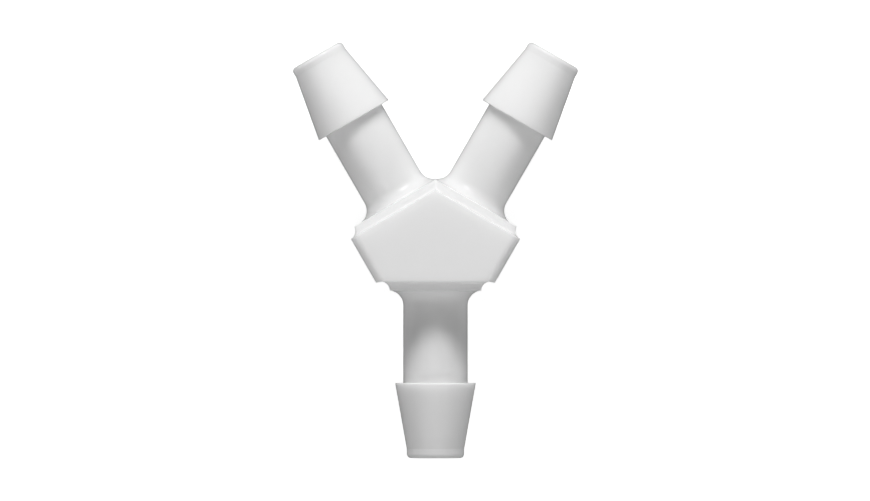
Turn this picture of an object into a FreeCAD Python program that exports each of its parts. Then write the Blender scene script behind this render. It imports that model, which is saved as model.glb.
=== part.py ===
import FreeCAD, Part
import math
import os
from FreeCAD import Placement, Rotation, Vector

# Tubing Y connector, one hollow nylon moulding for hose of 6.4 mm (1/4 in) bore.
# Lengths are in millimetres. The piece lies on its back: the flat back face of the hub
# is on z = 0 and the three arm axes lie in one level plane above it and cross over the
# origin. The stem arm runs along -Y, the two fork arms spread towards +Y, each by half
# the fork angle. +X is to the right and +Z to the front face.

# Arms, the same on all three from the collar out
fork_half_angle = 30.0
trunk_radius = 3.175
trunk_length = 9.08
root_fillet = 1.475

# Hose barb at the end of each arm: a cone from the rim down to a short round nose
barb_rim_radius = 3.975
barb_length = 6.50
rim_chamfer = 0.05
nose_radius = 2.83
nose_length = 0.90
nose_rounding = 0.43

# Flow ways, one straight bore down each arm
bore_radius = 2.10
mouth_chamfer = 0.10

# Hub: a five-sided block, each collar being the flat face that an arm grows out of
hub_half_depth = 6.10
hub_side_offset = 6.09
fork_collar = 6.98
stem_collar = 2.86
long_edge_rounding = 0.95
cove_radius = 0.895
crisp_edge_rounding = 0.06

# Flat left on the stem collar between the foot of its fillet and the broken edge
foot_margin = 0.03

# Clearance by which a cutter runs past the surface that it opens
run_out = 1.0

# Directions and sizes that follow from the ones above
lean = math.radians(fork_half_angle)
crossing = Vector(0, 0, hub_half_depth)
stem_dir = Vector(0, -1, 0)
right_dir = Vector(math.sin(lean), math.cos(lean), 0)
arm_length = trunk_length + barb_length + nose_length
apex_y = fork_collar / math.cos(lean)
shoulder_x = fork_collar * math.sin(lean) + hub_side_offset * math.cos(lean)
shoulder_y = fork_collar * math.cos(lean) - hub_side_offset * math.sin(lean)
foot_x = (hub_side_offset - stem_collar * math.sin(lean)) / math.cos(lean)
apex_overrun = cove_radius + run_out
fork_foot = trunk_radius + root_fillet
stem_foot = foot_x - cove_radius - crisp_edge_rounding - foot_margin


def arm_frame(direction):
    """Placement at the crossing: local +Z along the arm, local +X away from the fork gap."""
    outward = direction.cross(Vector(0, 0, 1))
    return Placement(crossing, Rotation(outward, Vector(0, 0, -1), direction, "ZXY"))


def mirrored(shape):
    """The same shape on the other side of the plane x = 0."""
    return shape.mirror(Vector(0, 0, 0), Vector(1, 0, 0))


def hub_block():
    """Five-sided prism between the two flat faces, its long side edges well rounded."""
    outline = [
        Vector(0, apex_y, 0),
        Vector(-shoulder_x, shoulder_y, 0),
        Vector(-foot_x, -stem_collar, 0),
        Vector(foot_x, -stem_collar, 0),
        Vector(shoulder_x, shoulder_y, 0),
        Vector(0, apex_y, 0),
    ]
    block = Part.Face(Part.makePolygon(outline)).extrude(Vector(0, 0, 2 * hub_half_depth))
    side_middle = (shoulder_x + foot_x) / 2
    long_edges = []
    for edge in block.Edges:
        start, end = edge.Vertexes
        level = abs(start.Z - end.Z) < 1e-6
        if level and abs(abs(edge.CenterOfMass.x) - side_middle) < 1e-6:
            long_edges.append(edge)
    return block.makeFillet(long_edge_rounding, long_edges)


def cove_bar(collar, near, far):
    """Round bar bent along three edges of a collar face, from x = near round x = far."""
    deep = hub_half_depth
    bend = long_edge_rounding
    dip = bend * (1 - math.sqrt(0.5))
    front_bend = Part.Arc(
        Vector(far - bend, deep, collar),
        Vector(far - dip, deep - dip, collar),
        Vector(far, deep - bend, collar),
    )
    back_bend = Part.Arc(
        Vector(far, bend - deep, collar),
        Vector(far - dip, dip - deep, collar),
        Vector(far - bend, -deep, collar),
    )
    centre_line = Part.Wire([
        Part.makeLine(Vector(near, deep, collar), Vector(far - bend, deep, collar)),
        front_bend.toShape(),
        Part.makeLine(Vector(far, deep - bend, collar), Vector(far, bend - deep, collar)),
        back_bend.toShape(),
        Part.makeLine(Vector(far - bend, -deep, collar), Vector(near, -deep, collar)),
    ])
    start = Vector(near, deep, collar)
    section = Part.Face(Part.Wire(Part.makeCircle(cove_radius, start, Vector(1, 0, 0))))
    return centre_line.makePipe(section)


def coved_hub():
    """Hub with a concave cove round each collar face and its crisp edges just broken."""
    fork_bar = cove_bar(fork_collar, -fork_collar * math.tan(lean) - apex_overrun, hub_side_offset)
    fork_bar.Placement = arm_frame(right_dir)
    stem_bar = cove_bar(stem_collar, 0, foot_x)
    stem_bar.Placement = arm_frame(stem_dir)
    hub = hub_block().cut([fork_bar, mirrored(fork_bar), stem_bar, mirrored(stem_bar)])
    hub = hub.removeSplitter()
    crisp_edges = [edge for edge in hub.Edges if is_crisp(hub, edge)]
    return hub.makeFillet(crisp_edge_rounding, crisp_edges)


def is_crisp(hub, edge):
    """True for an edge between a cove and any face that is not a cove."""
    sides = hub.ancestorsOfType(edge, Part.Face)
    return len({is_cove(face) for face in sides}) == 2


def is_cove(face):
    """True for a face cut by a cove bar, straight or bent."""
    surface = face.Surface
    straight = isinstance(surface, Part.Cylinder) and abs(surface.Radius - cove_radius) < 1e-6
    return straight or isinstance(surface, Part.Toroid)


def turned_arm(collar, foot):
    """Arm turned about local +Z: fillet from the foot radius, trunk, barb and nose."""
    rim_z = collar + trunk_length
    nose_z = rim_z + barb_length
    tip_z = collar + arm_length
    centre_x = trunk_radius + root_fillet
    rise = math.sqrt(root_fillet ** 2 - (centre_x - foot) ** 2)
    half_turn = math.asin(rise / root_fillet) / 2
    root = Part.Arc(
        Vector(foot, 0, collar),
        Vector(
            centre_x - root_fillet * math.cos(half_turn),
            0,
            collar + rise - root_fillet * math.sin(half_turn),
        ),
        Vector(trunk_radius, 0, collar + rise),
    )
    profile = Part.Wire([
        Part.makeLine(Vector(0, 0, 0), Vector(foot, 0, 0)),
        Part.makeLine(Vector(foot, 0, 0), Vector(foot, 0, collar)),
        root.toShape(),
        Part.makeLine(Vector(trunk_radius, 0, collar + rise), Vector(trunk_radius, 0, rim_z)),
        Part.makeLine(Vector(trunk_radius, 0, rim_z), Vector(barb_rim_radius, 0, rim_z)),
        Part.makeLine(Vector(barb_rim_radius, 0, rim_z), Vector(nose_radius, 0, nose_z)),
        Part.makeLine(Vector(nose_radius, 0, nose_z), Vector(nose_radius, 0, tip_z)),
        Part.makeLine(Vector(nose_radius, 0, tip_z), Vector(0, 0, tip_z)),
        Part.makeLine(Vector(0, 0, tip_z), Vector(0, 0, 0)),
    ])
    arm = Part.Face(profile).revolve(Vector(0, 0, 0), Vector(0, 0, 1), 360)
    arm = arm.makeChamfer(rim_chamfer, circles_at(arm, rim_z, barb_rim_radius))
    return arm.makeFillet(nose_rounding, circles_at(arm, tip_z, nose_radius))


def circles_at(shape, height, radius):
    """Circular edges of the given radius round local +Z at the given height."""
    found = []
    for edge in shape.Edges:
        round_edge = isinstance(edge.Curve, Part.Circle)
        if round_edge and abs(edge.Curve.Radius - radius) < 1e-6:
            if abs(edge.Curve.Center.z - height) < 1e-6:
                found.append(edge)
    return found


def flow_way(collar):
    """Straight bore from the crossing out of the nose, with a chamfer at its mouth."""
    tip_z = collar + arm_length
    bore = Part.makeCylinder(bore_radius, tip_z + run_out)
    mouth = Part.makeCone(
        bore_radius,
        bore_radius + mouth_chamfer + run_out,
        mouth_chamfer + run_out,
        Vector(0, 0, tip_z - mouth_chamfer),
    )
    return bore.fuse(mouth)


def placed(shape, direction):
    """Copy of a shape made along local +Z, laid along one arm."""
    copy = shape.copy()
    copy.Placement = arm_frame(direction)
    return copy


def y_connector():
    """The whole moulding: hub, three barbed arms and the three bores that meet in it."""
    fork_arm = placed(turned_arm(fork_collar, fork_foot), right_dir)
    reach = fork_collar + arm_length + run_out
    right_side = Part.makeBox(reach, 2 * reach, 2 * hub_half_depth, Vector(0, -reach, 0))
    fork_arm = fork_arm.common(right_side)
    stem_arm = placed(turned_arm(stem_collar, stem_foot), stem_dir)
    body = coved_hub().fuse([fork_arm, mirrored(fork_arm), stem_arm]).removeSplitter()
    fork_bore = placed(flow_way(fork_collar), right_dir)
    stem_bore = placed(flow_way(stem_collar), stem_dir)
    hollow = body.cut([fork_bore, mirrored(fork_bore), stem_bore]).removeSplitter()
    solid, = hollow.Solids
    return solid


connector_body = y_connector()
os.makedirs("parts", exist_ok=True)
connector_body.exportStep("parts/connector_body.step")
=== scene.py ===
import math

import bpy
import numpy as np
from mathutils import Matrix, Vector


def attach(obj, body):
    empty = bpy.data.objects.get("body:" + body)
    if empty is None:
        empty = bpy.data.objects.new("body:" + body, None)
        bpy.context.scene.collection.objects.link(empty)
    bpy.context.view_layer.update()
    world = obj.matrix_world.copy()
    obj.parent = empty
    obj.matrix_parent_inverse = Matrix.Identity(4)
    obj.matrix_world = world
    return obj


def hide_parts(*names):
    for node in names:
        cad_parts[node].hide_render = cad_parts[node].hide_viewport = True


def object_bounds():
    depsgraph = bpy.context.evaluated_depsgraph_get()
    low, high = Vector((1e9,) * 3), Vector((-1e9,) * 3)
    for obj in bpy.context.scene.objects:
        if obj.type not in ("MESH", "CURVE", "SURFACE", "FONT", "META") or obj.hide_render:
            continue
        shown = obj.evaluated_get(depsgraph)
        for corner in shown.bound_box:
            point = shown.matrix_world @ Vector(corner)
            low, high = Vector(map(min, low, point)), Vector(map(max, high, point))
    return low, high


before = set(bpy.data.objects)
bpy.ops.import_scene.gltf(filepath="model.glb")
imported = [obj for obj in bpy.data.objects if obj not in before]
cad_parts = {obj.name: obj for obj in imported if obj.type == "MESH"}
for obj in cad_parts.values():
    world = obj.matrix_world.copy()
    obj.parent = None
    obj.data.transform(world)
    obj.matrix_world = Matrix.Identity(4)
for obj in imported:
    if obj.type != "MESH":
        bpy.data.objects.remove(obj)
cad_low, cad_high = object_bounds()

bl_info = {
    "name": "Tubing Y Connector",
    "version": (1, 0, 0),
    "blender": (4, 5, 0),
    "location": "3D View > Sidebar > Connector",
    "description": "Finishes the moulded Y connector and sets up its studio",
    "category": "Object",
}

UP = np.array((0.0, 0.0, 1.0))

# Points closer than this are one point
WELD = 1e-8

# Angles on either side of the one at which a cove meets the outside, and halvings that find it
COVE_START_RANGE = (-1.2, 0.6)
HALVINGS = 50

# Steps along the profile of an arm
FILLET_STEPS = 24
TRUNK_STEPS = 10
RIM_STEPS = 8
CONE_STEPS = 10
TIP_STEPS = 12
BORE_STEPS = 16
SHORT_STEPS = 2

# Steps round an arm: to its top, on to the middle of the Y, and within the middle of the Y
OUTER_TURN_STEPS = 48
INNER_TURN_STEPS = 32
CROTCH_TURN_STEPS = 18

# Steps along a cove: across the front, round the side edge and down the side
FRONT_STEPS = 28
BEND_STEPS = 14
SIDE_STEPS = 16

# Steps across a cove: over each edge and through its bowl
EDGE_STEPS = 6
BOWL_STEPS = 18

# Steps down the middle of the Y from the coves to the fillets
MIDDLE_STEPS = 10

# Index of refraction of nylon
NYLON_IOR = 1.5

# Half the side and the roughness of the floor and of the card under it, and how deep the card lies
STAGE_REACH = 3.0
STAGE_ROUGHNESS = 0.9
CARD_DEPTH = 0.001

# Paleness of the floor and its own glow, which keep it white for the camera
FLOOR_TONE = 0.9
FLOOR_GLOW = 0.75

# Where the camera looks, as the photograph is framed, the width of its sensor in millimetres and
# how far it sees
CAMERA_PLACE = (-0.000045, 0.001092)
SENSOR_WIDTH = 36.0
CAMERA_SIGHT = 10.0

# What the focused lights are aimed at, and what the others are aimed at, the floor under the hub
FORK_MIDDLE = (0.0, 0.015, 0.006)
HUB_FOOT = (0.0, 0.0, 0.0)

# Light of no colour
WHITE = (1.0, 1.0, 1.0, 1.0)


class MouldingSizes(bpy.types.PropertyGroup):
    """Sizes of the moulding, the same as the solid's."""

    fork_half_angle: bpy.props.FloatProperty(
        name="Fork Half Angle",
        description="Angle between a fork arm and the middle of the Y",
        default=math.radians(30),
        subtype="ANGLE",
    )
    trunk_radius: bpy.props.FloatProperty(
        name="Trunk Radius",
        description="Radius of an arm between its fillet and its barb",
        default=0.003175,
        precision=6,
        unit="LENGTH",
    )
    trunk_length: bpy.props.FloatProperty(
        name="Trunk Length",
        description="Length of an arm from the collar face to the rim of the barb",
        default=0.00908,
        precision=6,
        unit="LENGTH",
    )
    root_fillet: bpy.props.FloatProperty(
        name="Root Fillet",
        description="Radius of the fillet at the foot of an arm",
        default=0.001475,
        precision=6,
        unit="LENGTH",
    )
    barb_rim_radius: bpy.props.FloatProperty(
        name="Barb Rim Radius",
        description="Radius of the barb at its widest",
        default=0.003975,
        precision=6,
        unit="LENGTH",
    )
    barb_length: bpy.props.FloatProperty(
        name="Barb Length",
        description="Length of the barb's cone",
        default=0.0065,
        precision=6,
        unit="LENGTH",
    )
    rim_rounding: bpy.props.FloatProperty(
        name="Rim Rounding",
        description="Radius of the worn edge round the rim",
        default=0.00005,
        precision=6,
        unit="LENGTH",
    )
    nose_radius: bpy.props.FloatProperty(
        name="Nose Radius",
        description="Radius of the nose beyond the cone",
        default=0.00283,
        precision=6,
        unit="LENGTH",
    )
    nose_length: bpy.props.FloatProperty(
        name="Nose Length",
        description="Length of the nose beyond the cone",
        default=0.0009,
        precision=6,
        unit="LENGTH",
    )
    nose_rounding: bpy.props.FloatProperty(
        name="Nose Rounding",
        description="Radius of the rounded end of the nose",
        default=0.00043,
        precision=6,
        unit="LENGTH",
    )
    bore_radius: bpy.props.FloatProperty(
        name="Bore Radius",
        description="Radius of the flow ways",
        default=0.0021,
        precision=6,
        unit="LENGTH",
    )
    mouth_chamfer: bpy.props.FloatProperty(
        name="Mouth Chamfer",
        description="Width of the chamfer round a mouth",
        default=0.0001,
        precision=6,
        unit="LENGTH",
    )
    hub_half_depth: bpy.props.FloatProperty(
        name="Hub Half Depth",
        description="Distance from the arm axes to the front and the back",
        default=0.0061,
        precision=6,
        unit="LENGTH",
    )
    hub_side_offset: bpy.props.FloatProperty(
        name="Hub Side Offset",
        description="Distance from a fork arm's axis to the side of the hub",
        default=0.00609,
        precision=6,
        unit="LENGTH",
    )
    fork_collar: bpy.props.FloatProperty(
        name="Fork Collar",
        description="Distance from the crossing of the axes to a fork collar face",
        default=0.00698,
        precision=6,
        unit="LENGTH",
    )
    stem_collar: bpy.props.FloatProperty(
        name="Stem Collar",
        description="Distance from the crossing of the axes to the stem collar face",
        default=0.00286,
        precision=6,
        unit="LENGTH",
    )
    long_edge_rounding: bpy.props.FloatProperty(
        name="Long Edge Rounding",
        description="Radius of the rounded long edges of the hub",
        default=0.00095,
        precision=6,
        unit="LENGTH",
    )
    cove_radius: bpy.props.FloatProperty(
        name="Cove Radius",
        description="Radius of the coves round the collar faces",
        default=0.000895,
        precision=6,
        unit="LENGTH",
    )
    broken_edge: bpy.props.FloatProperty(
        name="Broken Edge",
        description="Radius at the two edges of a cove",
        default=0.00005,
        precision=6,
        unit="LENGTH",
    )
    foot_margin: bpy.props.FloatProperty(
        name="Foot Margin",
        description="Flat left outside the foot of the stem's fillet",
        default=0.00003,
        precision=6,
        unit="LENGTH",
    )


class NylonSettings(bpy.types.PropertyGroup):
    """Finish of the moulded nylon."""

    tint: bpy.props.FloatVectorProperty(
        name="Tint",
        description="Colour of the undyed nylon",
        subtype="COLOR",
        size=3,
        min=0.0,
        max=1.0,
        default=(0.93, 0.93, 0.93),
    )
    glow_depth: bpy.props.FloatProperty(
        name="Glow Depth",
        description="How far light wanders inside the nylon before it leaves again",
        default=0.0012,
        precision=5,
        unit="LENGTH",
    )
    cloudiness: bpy.props.FloatProperty(
        name="Cloudiness",
        description="Share by which the colour falls in the darkest clouds of the nylon",
        subtype="FACTOR",
        min=0.0,
        max=1.0,
        default=0.008,
    )
    cloud_scale: bpy.props.FloatProperty(
        name="Cloud Scale",
        description="Clouds in a metre",
        default=220.0,
    )
    roughness: bpy.props.FloatProperty(
        name="Roughness",
        description="Roughness of the skin where it is smoothest",
        subtype="FACTOR",
        min=0.0,
        max=1.0,
        default=0.14,
    )
    dullest: bpy.props.FloatProperty(
        name="Dullest",
        description="Roughness of the skin where it is dullest",
        subtype="FACTOR",
        min=0.0,
        max=1.0,
        default=0.18,
    )
    sheen_scale: bpy.props.FloatProperty(
        name="Sheen Scale",
        description="Changes from smooth to dull in a metre",
        default=900.0,
    )
    grain_scale: bpy.props.FloatProperty(
        name="Grain Scale",
        description="Grains of the mould's finish in a metre",
        default=2500.0,
    )
    grain_height: bpy.props.FloatProperty(
        name="Grain Height",
        description="Height of a grain",
        default=0.00001,
        precision=6,
        unit="LENGTH",
    )
    grain_strength: bpy.props.FloatProperty(
        name="Grain Strength",
        description="How much of the grain the skin shows",
        subtype="FACTOR",
        min=0.0,
        max=1.0,
        default=0.02,
    )


class StudioSettings(bpy.types.PropertyGroup):
    """Camera and lights."""

    frame_width: bpy.props.FloatProperty(
        name="Frame Width",
        description="Width that the picture takes in at the level of the arms",
        default=0.08561,
        precision=5,
        unit="LENGTH",
    )
    camera_distance: bpy.props.FloatProperty(
        name="Camera Distance",
        description="Height of the camera above the arms",
        default=2.0,
        unit="LENGTH",
    )
    light_distance: bpy.props.FloatProperty(
        name="Light Distance",
        description="Distance of the key light, the small light in its middle and the two front lights",
        default=0.6,
        unit="LENGTH",
    )
    key_tilt: bpy.props.FloatProperty(
        name="Key Tilt",
        description="Angle of the key light from straight above, towards the fork",
        subtype="ANGLE",
        default=math.radians(60),
    )
    key_width: bpy.props.FloatProperty(
        name="Key Width",
        description="Length of the key light, which lies across the picture",
        default=0.6,
        unit="LENGTH",
    )
    key_height: bpy.props.FloatProperty(
        name="Key Height",
        description="Height of the key light",
        default=0.1,
        unit="LENGTH",
    )
    key_power: bpy.props.FloatProperty(
        name="Key Power",
        description="Power of the key light in watts",
        default=2.6,
    )
    glint_width: bpy.props.FloatProperty(
        name="Glint Width",
        description="Length of the small light in the middle of the key, the one that the skin mirrors",
        default=0.26,
        unit="LENGTH",
    )
    glint_height: bpy.props.FloatProperty(
        name="Glint Height",
        description="Height of the small light in the middle of the key",
        default=0.15,
        unit="LENGTH",
    )
    glint_power: bpy.props.FloatProperty(
        name="Glint Power",
        description="Power of the small light in the middle of the key, in watts",
        default=1.12,
    )
    front_tilt: bpy.props.FloatProperty(
        name="Front Tilt",
        description="Angle of the two front lights from straight above",
        subtype="ANGLE",
        default=math.radians(65),
    )
    front_turn: bpy.props.FloatProperty(
        name="Front Turn",
        description="Angle of the two front lights round the connector, from the fork",
        subtype="ANGLE",
        default=math.radians(135),
    )
    front_size: bpy.props.FloatProperty(
        name="Front Size",
        description="Side of a front light",
        default=0.3,
        unit="LENGTH",
    )
    front_power: bpy.props.FloatProperty(
        name="Front Power",
        description="Power of a front light in watts",
        default=1.02,
    )
    fork_tilt: bpy.props.FloatProperty(
        name="Fork Light Tilt",
        description="Angle of the two focused lights on the fork from straight above",
        subtype="ANGLE",
        default=math.radians(60),
    )
    fork_turn: bpy.props.FloatProperty(
        name="Fork Light Turn",
        description="Angle of the two focused lights round the connector, from the fork",
        subtype="ANGLE",
        default=math.radians(90),
    )
    fork_distance: bpy.props.FloatProperty(
        name="Fork Light Distance",
        description="Distance of the two focused lights from the middle of the fork",
        default=0.3,
        unit="LENGTH",
    )
    fork_reach: bpy.props.FloatProperty(
        name="Fork Light Reach",
        description="Radius of the patch that a focused light covers, faded to its edge",
        default=0.022,
        unit="LENGTH",
    )
    fork_softness: bpy.props.FloatProperty(
        name="Fork Light Softness",
        description="Radius of a focused light",
        default=0.025,
        unit="LENGTH",
    )
    fork_power: bpy.props.FloatProperty(
        name="Fork Light Power",
        description="Power of a focused light in watts",
        default=1.1,
    )
    card_glow: bpy.props.FloatProperty(
        name="Card Glow",
        description="Brightness of the pale card under the floor that the skin mirrors",
        default=0.28,
    )
    room: bpy.props.FloatProperty(
        name="Room",
        description="Brightness of the room all round",
        default=0.04,
        precision=3,
    )


class CONNECTOR_OT_moulding(bpy.types.Operator):
    """Make the moulded connector with its nylon finish"""

    bl_idname = "connector.moulding"
    bl_label = "Make Moulding"

    def execute(self, context):
        m = measures(context.scene.connector_sizes)
        mesh = closed_mesh("moulding", whole(m), m["hub_half_depth"])
        mesh.materials.append(nylon(context.scene.connector_nylon))
        moulding = bpy.data.objects.new("moulding", mesh)
        context.scene.collection.objects.link(moulding)
        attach(moulding, "root")
        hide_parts("connector_body")
        return {"FINISHED"}


class CONNECTOR_OT_studio(bpy.types.Operator):
    """Set up the floor, the lights and the camera"""

    bl_idname = "connector.studio"
    bl_label = "Set Up Studio"

    def execute(self, context):
        settings = context.scene.connector_studio
        add_floor(settings)
        add_lights(context.scene, settings)
        set_room(context.scene, settings)
        add_camera(context.scene, settings)
        return {"FINISHED"}


class CONNECTOR_PT_panel(bpy.types.Panel):
    """Lists the connector's settings and steps"""

    bl_label = "Connector"
    bl_idname = "CONNECTOR_PT_panel"
    bl_space_type = "VIEW_3D"
    bl_region_type = "UI"
    bl_category = "Connector"

    def draw(self, context):
        scene = context.scene
        for settings in (scene.connector_sizes, scene.connector_nylon, scene.connector_studio):
            for name in settings.__annotations__:
                self.layout.prop(settings, name)
        self.layout.operator("connector.moulding")
        self.layout.operator("connector.studio")


def measures(sizes):
    """The sizes, and the lengths and directions that follow from them, by name."""
    m = {name: getattr(sizes, name) for name in sizes.__annotations__}
    lean = m["fork_half_angle"]
    m["fork_axis"] = np.array((math.sin(lean), math.cos(lean), 0.0))
    m["fork_out"] = np.array((math.cos(lean), -math.sin(lean), 0.0))
    m["stem_axis"] = np.array((0.0, -1.0, 0.0))
    m["stem_out"] = np.array((1.0, 0.0, 0.0))
    m["fork_foot"] = m["trunk_radius"] + m["root_fillet"]
    m["meeting_width"] = m["fork_collar"] * math.tan(lean)
    m["meeting_turn"] = math.acos(-m["meeting_width"] / m["fork_foot"])
    m["side_foot"] = (m["hub_side_offset"] - m["stem_collar"] * math.sin(lean)) / math.cos(lean)
    m["cove_reach"] = math.sqrt(m["cove_radius"] ** 2 + 2 * m["cove_radius"] * m["broken_edge"])
    m["stem_foot"] = m["side_foot"] - m["cove_reach"] - m["foot_margin"]
    return m


def unit(vectors):
    """The same directions at length one."""
    return vectors / np.linalg.norm(vectors, axis=-1, keepdims=True)


def turned(start, end, share):
    """Directions on the great arc from start to end, at the given shares of its angle."""
    angle = np.arccos(np.clip((start * end).sum(-1), -1, 1))[..., None, None]
    share = share[:, None]
    near = np.sin((1 - share) * angle) * start[..., None, :]
    far = np.sin(share * angle) * end[..., None, :]
    return (near + far) / np.sin(angle)


def facing(points, normals, faces):
    """The faces, each turned over where its corners run clockwise seen from outside."""
    corners = points[faces]
    across = np.cross(corners[:, 2] - corners[:, 0], corners[:, -1] - corners[:, 1])
    inward = (across * normals[faces].sum(1)).sum(1) < 0
    faces = faces.copy()
    faces[inward] = faces[inward, ::-1]
    return faces


def grid_patch(points, normals):
    """Four-sided faces between neighbours of a grid of points."""
    rows, columns = points.shape[:2]
    index = np.arange(rows * columns).reshape(rows, columns)
    faces = np.stack((index[:-1, :-1], index[1:, :-1], index[1:, 1:], index[:-1, 1:]), -1)
    points, normals = points.reshape(-1, 3), normals.reshape(-1, 3)
    return points, normals, facing(points, normals, faces.reshape(-1, 4))


def bridge_patch(near, far):
    """Triangles between two lines of points, each line a triple of points, normals and rising places.

    Every stretch of either line makes one triangle with the point of the other line that lies
    level with its middle."""
    (near_points, near_normals, near_places), (far_points, far_normals, far_places) = near, far
    near_middle = (near_places[1:] + near_places[:-1]) / 2
    far_middle = (far_places[1:] + far_places[:-1]) / 2
    count = len(near_points)
    step = np.arange(count - 1)
    far_step = np.arange(len(far_points) - 1)
    to_far = np.searchsorted(far_middle, near_middle, side="left") + count
    to_near = np.searchsorted(near_middle, far_middle, side="right")
    faces = np.concatenate((
        np.stack((step, step + 1, to_far), -1),
        np.stack((far_step + count, far_step + count + 1, to_near), -1),
    ))
    points = np.concatenate((near_points, far_points))
    normals = np.concatenate((near_normals, far_normals))
    return points, normals, facing(points, normals, faces)


def round_about(axis, out, height, radius, turn):
    """Points at a height along an axis and a radius from it, turned from out towards up."""
    side = np.cos(turn)[..., None] * out + np.sin(turn)[..., None] * UP
    return height[..., None] * axis + radius[..., None] * side


def line(start, end, steps):
    """Evenly spaced values from start to end, as a column for each start or end."""
    share = np.linspace(0, 1, steps + 1)
    start, end = np.asarray(start, float), np.asarray(end, float)
    return start[..., None] + (end - start)[..., None] * share


def straight(start, end, normal, steps):
    """Straight stretch of a profile from one height and radius to another: heights, radii, normal."""
    height, radius = line(start[0], end[0], steps), line(start[1], end[1], steps)
    return height, radius, normal[0], normal[1]


def arm_patch(m, axis, out, collar, foot, turn, fillet_start, bore_start):
    """Skin of one arm from the collar face out to the tip and back down its bore.

    A profile in height and radius is turned about the arm's axis. The profile is the root
    fillet, an arc that ends level with the trunk; the trunk; the step at the back of the barb;
    a small arc over its rim; the cone; the nose with its rounded end; the tip; the chamfer of
    the mouth; and the bore. The fillet starts at its own angle in each direction, where the
    other fork arm meets it, and so does the bore."""
    fillet, rim_round = m["root_fillet"], m["rim_rounding"]
    trunk, rim, nose = m["trunk_radius"], m["barb_rim_radius"], m["nose_radius"]
    bore, mouth, tip_round = m["bore_radius"], m["mouth_chamfer"], m["nose_rounding"]
    foot_angle = math.asin(min(1.0, (trunk + fillet - foot) / fillet))
    level = collar + fillet * math.cos(foot_angle)
    rim_height = collar + m["trunk_length"]
    nose_height = rim_height + m["barb_length"]
    tip = nose_height + m["nose_length"]
    cone = math.atan2(rim - nose, m["barb_length"])
    rim_centre = rim - rim_round * (math.cos(cone) + (1 + math.sin(cone)) * math.tan(cone))
    cone_start = (
        rim_height + rim_round * (1 + math.sin(cone)),
        rim_centre + rim_round * math.cos(cone),
    )
    over_rim = line(-math.pi / 2, cone, RIM_STEPS)
    over_tip = line(0, math.pi / 2, TIP_STEPS)
    sweep = line(np.maximum(fillet_start, foot_angle), math.pi / 2, FILLET_STEPS)
    slant = math.sqrt(0.5)

    stretches = (
        (
            level - fillet * np.cos(sweep),
            trunk + fillet * (1 - np.sin(sweep)),
            np.cos(sweep),
            np.sin(sweep),
        ),
        straight((level, trunk), (rim_height, trunk), (0, 1), TRUNK_STEPS),
        straight((rim_height, trunk), (rim_height, rim_centre), (-1, 0), SHORT_STEPS),
        (
            rim_height + rim_round * (1 + np.sin(over_rim)),
            rim_centre + rim_round * np.cos(over_rim),
            np.sin(over_rim),
            np.cos(over_rim),
        ),
        straight(cone_start, (nose_height, nose), (math.sin(cone), math.cos(cone)), CONE_STEPS),
        straight((nose_height, nose), (tip - tip_round, nose), (0, 1), SHORT_STEPS),
        (
            tip - tip_round * (1 - np.sin(over_tip)),
            nose - tip_round * (1 - np.cos(over_tip)),
            np.sin(over_tip),
            np.cos(over_tip),
        ),
        straight((tip, nose - tip_round), (tip, bore + mouth), (1, 0), SHORT_STEPS),
        straight((tip, bore + mouth), (tip - mouth, bore), (slant, -slant), SHORT_STEPS),
        (line(np.full(len(turn), tip - mouth), bore_start, BORE_STEPS), bore, 0, -1),
    )
    spread = []
    for stretch in stretches:
        shape = (len(turn), np.shape(stretch[0])[-1])
        spread.append([np.broadcast_to(part, shape) for part in stretch])
    height, radius, along, outward = (np.concatenate(parts, 1) for parts in zip(*spread))
    turn = np.broadcast_to(turn[:, None], height.shape)
    points = round_about(axis, out, height, radius, turn)
    normals = round_about(axis, out, along, outward, turn)
    return grid_patch(points, normals)


def fork_arm_patch(m, turn):
    """Right fork arm. Where it would cross the middle of the Y its fillet starts on that plane."""
    lean = m["fork_half_angle"]
    fillet = m["root_fillet"]
    side = np.cos(turn) * math.cos(lean)
    reach = np.hypot(math.sin(lean), side)
    offset = (m["fork_collar"] + fillet) * math.sin(lean) + m["fork_foot"] * side
    angle = np.arccos(np.clip(offset / (fillet * reach), -1, 1)) - np.arctan2(-side, math.sin(lean))
    fillet_start = np.where(turn > m["meeting_turn"] + WELD, angle, 0.0)
    stem_side = np.cos(turn) * math.tan(lean / 2)
    fork_side = -np.cos(turn) / math.tan(lean)
    bore_start = m["bore_radius"] * np.where(turn < math.pi / 2, stem_side, fork_side)
    return arm_patch(
        m, m["fork_axis"], m["fork_out"], m["fork_collar"], m["fork_foot"],
        turn, fillet_start, bore_start,
    )


def stem_arm_patch(m, turn):
    """Right half of the stem arm."""
    bore_start = m["bore_radius"] * np.cos(turn) * math.tan(m["fork_half_angle"] / 2)
    return arm_patch(
        m, m["stem_axis"], m["stem_out"], m["stem_collar"], m["stem_foot"],
        turn, np.zeros(len(turn)), bore_start,
    )


def hub_depth(m, points):
    """Signed distance out of the hub's front, rounded side edge and side, and its direction."""
    rounding = m["long_edge_rounding"]
    across = points @ m["fork_out"] - (m["hub_side_offset"] - rounding)
    above = points[..., 2] - (m["hub_half_depth"] - rounding)
    side, front = np.maximum(across, 0), np.maximum(above, 0)
    distance = np.hypot(side, front) + np.minimum(np.maximum(across, above), 0) - rounding
    way = unit(side[..., None] * m["fork_out"] + front[..., None] * UP)
    return distance, way


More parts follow.
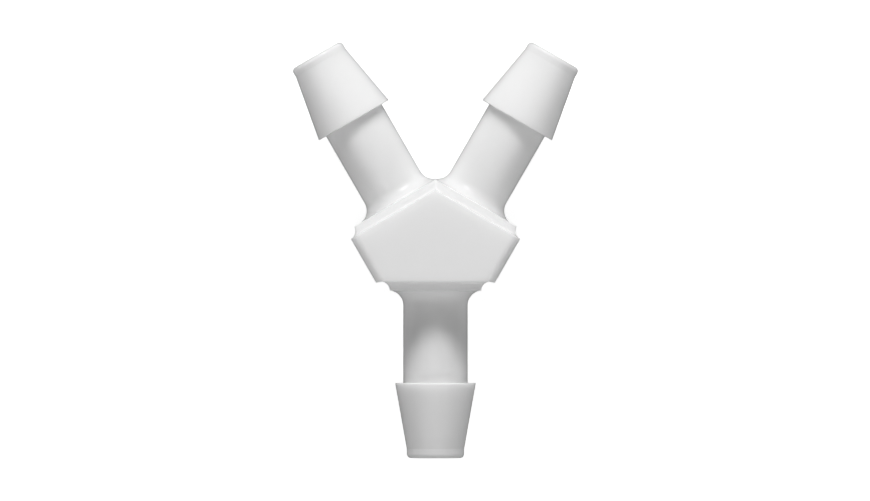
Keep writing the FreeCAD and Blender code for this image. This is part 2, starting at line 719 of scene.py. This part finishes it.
def cove_rows(m, axis, out, collar, far, slope):
    """Cove round the collar face of one arm, as a grid of points and a grid of normals.

    Its middle line follows the outline of the collar face: straight across the front, round
    the side edge and straight down the side. The surface is the inner side of a tube about
    that line. A small ball that rolls between the tube and the hub's outside, and one that
    rolls between the tube and the collar face, break its two edges. Across the front each row
    starts on the middle plane of the Y, at slope times its own height along the arm."""
    rounding, radius, ball = m["long_edge_rounding"], m["cove_radius"], m["broken_edge"]
    deep = m["hub_half_depth"]
    front = np.full(FRONT_STEPS + 1, math.pi / 2)
    turn = np.concatenate((front, line(math.pi / 2, 0, BEND_STEPS)[1:], np.zeros(SIDE_STEPS)))
    down = line(0, deep - rounding, SIDE_STEPS)[1:]
    drop = np.concatenate((np.zeros(len(front) + BEND_STEPS), down))
    away = np.cos(turn)[:, None] * out + np.sin(turn)[:, None] * UP
    middle = (far - rounding) * out + (deep - rounding) * UP + rounding * away
    middle = middle + collar * axis - drop[:, None] * UP

    def on_tube(size, angle):
        """Offsets of a size from the middle line, turned by an angle from straight back to the hub."""
        angle = angle[..., None]
        sideways = away if angle.ndim < 3 else away[:, None]
        return -size * (np.cos(angle) * axis + np.sin(angle) * sideways)

    low, high = (np.full(len(turn), angle) for angle in COVE_START_RANGE)
    for _ in range(HALVINGS):
        trial = (low + high) / 2
        outside = hub_depth(m, middle + on_tube(radius + ball, trial))[0] > -ball
        low, high = np.where(outside, trial, low), np.where(outside, high, trial)
    outer = (low + high) / 2
    inner = math.acos(ball / (radius + ball))

    outer_ball = middle + on_tube(radius + ball, outer)
    inner_ball = middle + on_tube(radius + ball, np.full(len(turn), inner))
    outer_way = hub_depth(m, outer_ball)[1]
    outer_back = unit(middle - outer_ball)
    inner_back = unit(middle - inner_ball)
    edge = np.linspace(0, 1, EDGE_STEPS + 1)
    bowl = line(outer, inner, BOWL_STEPS)
    outer_normals = turned(outer_way, outer_back, edge)
    inner_normals = turned(inner_back, np.broadcast_to(axis, inner_back.shape), edge)
    bowl_offset = on_tube(radius, bowl)
    points = np.concatenate((
        outer_ball[:, None] + ball * outer_normals,
        (middle[:, None] + bowl_offset)[:, 1:-1],
        inner_ball[:, None] + ball * inner_normals,
    ), 1)
    normals = np.concatenate((outer_normals, -bowl_offset[:, 1:-1] / radius, inner_normals), 1)

    corner = points[FRONT_STEPS].copy()
    share = np.linspace(0, 1, FRONT_STEPS + 1)[:, None]
    start = -slope * (corner @ axis)
    shift = (1 - share) * (start - corner @ out)
    points[:FRONT_STEPS + 1] = corner + shift[..., None] * out
    return points, normals


def collar_patch(axis, out, collar, foot, turn, edge):
    """Flat collar face between the circle at the foot of the fillet and the cove's edge."""
    height = np.full(len(turn), collar)
    circle = round_about(axis, out, height, np.full(len(turn), foot), turn)
    place = np.arctan2(edge[:, 2], edge @ out)
    return bridge_patch(
        (circle, np.broadcast_to(axis, circle.shape), turn),
        (edge, np.broadcast_to(axis, edge.shape), place),
    )


def hub_patch(m, fork_edge, stem_edge):
    """Hub outside between the edges of the fork cove and the stem cove."""
    rounding = m["long_edge_rounding"]
    flat_width = m["hub_side_offset"] - rounding
    flat_depth = m["hub_half_depth"] - rounding

    def with_place(edge):
        """The edge with its normals and how far round the hub each point lies."""
        across, above = edge @ m["fork_out"] - flat_width, edge[:, 2] - flat_depth
        way = hub_depth(m, edge)[1]
        front = 1 - across / across[0]
        bend = 1 + np.arctan2(across, above) / (math.pi / 2)
        side = 2 - above / flat_depth
        place = np.where(across < 0, front, np.where(above > 0, bend, side))
        return edge, way, place

    return bridge_patch(with_place(fork_edge), with_place(stem_edge))


def quarter(m):
    """Patches of the quarter of the moulding that is right of the middle and in front of the axes."""
    lean = m["fork_half_angle"]
    first = line(0, math.pi / 2, OUTER_TURN_STEPS)
    second = line(math.pi / 2, m["meeting_turn"], INNER_TURN_STEPS)[1:]
    third = line(m["meeting_turn"], math.pi, CROTCH_TURN_STEPS)[1:]
    collar_turn = np.concatenate((first, second))
    fork_cove, fork_cove_normals = cove_rows(
        m, m["fork_axis"], m["fork_out"], m["fork_collar"], m["hub_side_offset"], math.tan(lean)
    )
    stem_cove, stem_cove_normals = cove_rows(
        m, m["stem_axis"], m["stem_out"], m["stem_collar"], m["side_foot"], 0.0
    )
    corner = fork_cove[0, -1]
    low_height = math.sqrt(m["fork_foot"] ** 2 - m["meeting_width"] ** 2)
    middle_line = np.repeat(corner[None], MIDDLE_STEPS + 1, 0)
    middle_line[:, 2] = line(corner[2], low_height, MIDDLE_STEPS)
    fork_edge = np.concatenate((fork_cove[::-1, -1], middle_line[1:]))
    return [
        fork_arm_patch(m, np.concatenate((first, second, third))),
        stem_arm_patch(m, first),
        grid_patch(fork_cove, fork_cove_normals),
        grid_patch(stem_cove, stem_cove_normals),
        collar_patch(
            m["fork_axis"], m["fork_out"], m["fork_collar"], m["fork_foot"], collar_turn, fork_edge
        ),
        collar_patch(
            m["stem_axis"], m["stem_out"], m["stem_collar"], m["stem_foot"], first, stem_cove[::-1, -1]
        ),
        hub_patch(m, fork_cove[:, 0], stem_cove[:, 0]),
    ]


def whole(m):
    """Corners of every face of the moulding, with a point and a normal for each corner.

    The quarter is mirrored left to right and front to back, a mirrored face being turned over."""
    corners = []
    for points, normals, faces in quarter(m):
        for left in (1, -1):
            for back in (1, -1):
                flip = np.array((left, 1, back))
                loops = faces[:, ::-1] if left * back < 0 else faces
                corners.append(((points * flip)[loops], (normals * flip)[loops]))
    return corners


def closed_mesh(name, corners, rise):
    """Mesh of the faces with equal points made one, so that the skin is closed.

    Faces that have shrunk to a line are left out, and one that has lost a corner becomes a
    triangle."""
    threes, fours = [], []
    for points, normals in corners:
        (threes if points.shape[1] == 3 else fours).append((points, normals))
    place = np.concatenate([p.reshape(-1, 3) for p, _ in threes + fours])
    normal = np.concatenate([n.reshape(-1, 3) for _, n in threes + fours])
    keys = np.round(place / WELD).astype(np.int64)
    _, first, index = np.unique(keys, axis=0, return_index=True, return_inverse=True)
    index = index.reshape(-1)
    split = sum(p.shape[0] * 3 for p, _ in threes)
    three = np.arange(split).reshape(-1, 3)
    four = np.arange(split, len(index)).reshape(-1, 4)
    same = index[four] == np.roll(index[four], -1, 1)
    narrow = same.sum(1) == 1
    keep = np.nonzero(~same[narrow])
    three = np.concatenate((three, four[narrow][keep].reshape(-1, 3)))
    four = four[same.sum(1) == 0]
    three = three[(index[three] != np.roll(index[three], -1, 1)).all(1)]
    loops = np.concatenate((three.reshape(-1), four.reshape(-1)))
    starts = np.concatenate((np.arange(len(three)) * 3, len(three) * 3 + np.arange(len(four)) * 4))
    used, vertex = np.unique(index[loops], return_inverse=True)
    vertices = place[first[used]] + rise * UP

    mesh = bpy.data.meshes.new(name)
    mesh.vertices.add(len(vertices))
    mesh.vertices.foreach_set("co", vertices.astype(np.float32).reshape(-1))
    mesh.loops.add(len(loops))
    mesh.loops.foreach_set("vertex_index", vertex.reshape(-1).astype(np.int32))
    mesh.polygons.add(len(starts))
    mesh.polygons.foreach_set("loop_start", starts.astype(np.int32))
    mesh.update(calc_edges=True)
    mesh.normals_split_custom_set(unit(normal[loops]).tolist())
    return mesh


def nylon(settings):
    """Milky white plastic: light sinks in a little, and the skin's sheen varies a little.

    Broad clouds tell in the colour, patches of sheen in the roughness and a fine grain in the
    bump."""
    material = bpy.data.materials.new("nylon")
    material.use_nodes = True
    nodes = material.node_tree.nodes
    links = material.node_tree.links
    shader = nodes["Principled BSDF"]
    shader.inputs["IOR"].default_value = NYLON_IOR
    shader.inputs["Subsurface Weight"].default_value = 1.0
    shader.inputs["Subsurface Radius"].default_value = (1.0, 1.0, 1.0)
    shader.inputs["Subsurface Scale"].default_value = settings.glow_depth
    place = nodes.new("ShaderNodeTexCoord")

    def noise(scale):
        """Output of a noise that is fixed to the object."""
        pattern = nodes.new("ShaderNodeTexNoise")
        pattern.inputs["Scale"].default_value = scale
        links.new(place.outputs["Object"], pattern.inputs["Vector"])
        return pattern.outputs["Fac"]

    clouds = nodes.new("ShaderNodeValToRGB")
    clear, cloudy = clouds.color_ramp.elements
    clear.color = (*settings.tint, 1)
    cloudy.color = (*(part * (1 - settings.cloudiness) for part in settings.tint), 1)
    links.new(noise(settings.cloud_scale), clouds.inputs["Fac"])
    links.new(clouds.outputs["Color"], shader.inputs["Base Color"])
    sheen = nodes.new("ShaderNodeMapRange")
    sheen.inputs["To Min"].default_value = settings.roughness
    sheen.inputs["To Max"].default_value = settings.dullest
    links.new(noise(settings.sheen_scale), sheen.inputs["Value"])
    links.new(sheen.outputs["Result"], shader.inputs["Roughness"])
    bump = nodes.new("ShaderNodeBump")
    bump.inputs["Strength"].default_value = settings.grain_strength
    bump.inputs["Distance"].default_value = settings.grain_height
    links.new(noise(settings.grain_scale), bump.inputs["Height"])
    links.new(bump.outputs["Normal"], shader.inputs["Normal"])
    return material


def stage_plane(name, height, tone, glow):
    """Wide level plane of the stage, with its own glow."""
    mesh = bpy.data.meshes.new(name)
    square = ((-1, -1), (1, -1), (1, 1), (-1, 1))
    corners = [(x * STAGE_REACH, y * STAGE_REACH, height) for x, y in square]
    mesh.from_pydata(corners, [], [(0, 1, 2, 3)])
    plane = bpy.data.objects.new(name, mesh)
    bpy.context.scene.collection.objects.link(plane)
    material = bpy.data.materials.new(name)
    material.use_nodes = True
    shader = material.node_tree.nodes["Principled BSDF"]
    shader.inputs["Base Color"].default_value = (tone, tone, tone, 1)
    shader.inputs["Roughness"].default_value = STAGE_ROUGHNESS
    shader.inputs["Emission Color"].default_value = WHITE
    shader.inputs["Emission Strength"].default_value = glow
    mesh.materials.append(material)
    plane.visible_diffuse = False
    return plane


def add_floor(settings):
    """Pale floor for the camera, and under it the card that the skin mirrors in its place."""
    floor = stage_plane("floor", 0, FLOOR_TONE, FLOOR_GLOW)
    floor.visible_glossy = False
    card = stage_plane("card", -CARD_DEPTH, 0, settings.card_glow)
    card.visible_camera = False


def put_light(scene, light, place, aim, mirrored=False):
    """The light at a place round its aim, given as tilt from above, turn from the fork and distance.

    Glossy skin mirrors it only where it is to be mirrored."""
    tilt, turn, distance = place
    lamp = bpy.data.objects.new(light.name, light)
    away = Vector((math.sin(tilt) * math.sin(turn), math.sin(tilt) * math.cos(turn), math.cos(tilt)))
    lamp.location = Vector(aim) + distance * away
    lamp.rotation_euler = (-tilt, 0, -turn)
    lamp.visible_glossy = mirrored
    scene.collection.objects.link(lamp)


def soft_light(name, width, height, power):
    """Flat rectangular light."""
    light = bpy.data.lights.new(name, "AREA")
    light.shape = "RECTANGLE"
    light.size = width
    light.size_y = height
    light.energy = power
    return light


def focused_light(name, softness, reach, distance, power):
    """Round light with a cone that fades from its middle to its edge."""
    light = bpy.data.lights.new(name, "SPOT")
    light.shadow_soft_size = softness
    light.spot_size = 2 * math.atan(reach / distance)
    light.spot_blend = 1.0
    light.energy = power
    return light


def add_lights(scene, settings):
    """Strip light beyond the fork with a small mirrored light in its middle, and two fills a side.

    The fills are a front light and a focused light on the fork. The skin doesn't mirror them."""
    far, near = settings.light_distance, settings.fork_distance
    beyond = (settings.key_tilt, 0, far)
    key = soft_light("key", settings.key_width, settings.key_height, settings.key_power)
    put_light(scene, key, beyond, HUB_FOOT)
    glint = soft_light("glint", settings.glint_width, settings.glint_height, settings.glint_power)
    put_light(scene, glint, beyond, HUB_FOOT, mirrored=True)
    size, power = settings.front_size, settings.front_power
    for side, turn in (("right", 1), ("left", -1)):
        front = soft_light(f"front_{side}", size, size, power)
        put_light(scene, front, (settings.front_tilt, turn * settings.front_turn, far), HUB_FOOT)
        fork = focused_light(
            f"fork_{side}", settings.fork_softness, settings.fork_reach, near, settings.fork_power
        )
        put_light(scene, fork, (settings.fork_tilt, turn * settings.fork_turn, near), FORK_MIDDLE)


def set_room(scene, settings):
    """Even light from all round, and a picture whose tones are shown as they are."""
    world = bpy.data.worlds.new("room")
    world.use_nodes = True
    background = world.node_tree.nodes["Background"]
    background.inputs["Color"].default_value = WHITE
    background.inputs["Strength"].default_value = settings.room
    scene.world = world
    scene.view_settings.view_transform = "Standard"


def add_camera(scene, settings):
    """Long lens that looks straight down at the front face."""
    data = bpy.data.cameras.new("camera")
    data.sensor_width = SENSOR_WIDTH
    data.lens = data.sensor_width * settings.camera_distance / settings.frame_width
    data.clip_end = CAMERA_SIGHT
    camera = bpy.data.objects.new("camera", data)
    middle = (cad_high.z + cad_low.z) / 2
    camera.location = (*CAMERA_PLACE, middle + settings.camera_distance)
    scene.collection.objects.link(camera)
    scene.camera = camera


classes = (
    MouldingSizes,
    NylonSettings,
    StudioSettings,
    CONNECTOR_OT_moulding,
    CONNECTOR_OT_studio,
    CONNECTOR_PT_panel,
)


def register():
    for cls in classes:
        bpy.utils.register_class(cls)
    bpy.types.Scene.connector_sizes = bpy.props.PointerProperty(type=MouldingSizes)
    bpy.types.Scene.connector_nylon = bpy.props.PointerProperty(type=NylonSettings)
    bpy.types.Scene.connector_studio = bpy.props.PointerProperty(type=StudioSettings)


def unregister():
    del bpy.types.Scene.connector_studio
    del bpy.types.Scene.connector_nylon
    del bpy.types.Scene.connector_sizes
    for cls in reversed(classes):
        bpy.utils.unregister_class(cls)


def main():
    register()
    bpy.ops.connector.moulding()
    bpy.ops.connector.studio()


if __name__ == "__main__":
    main()
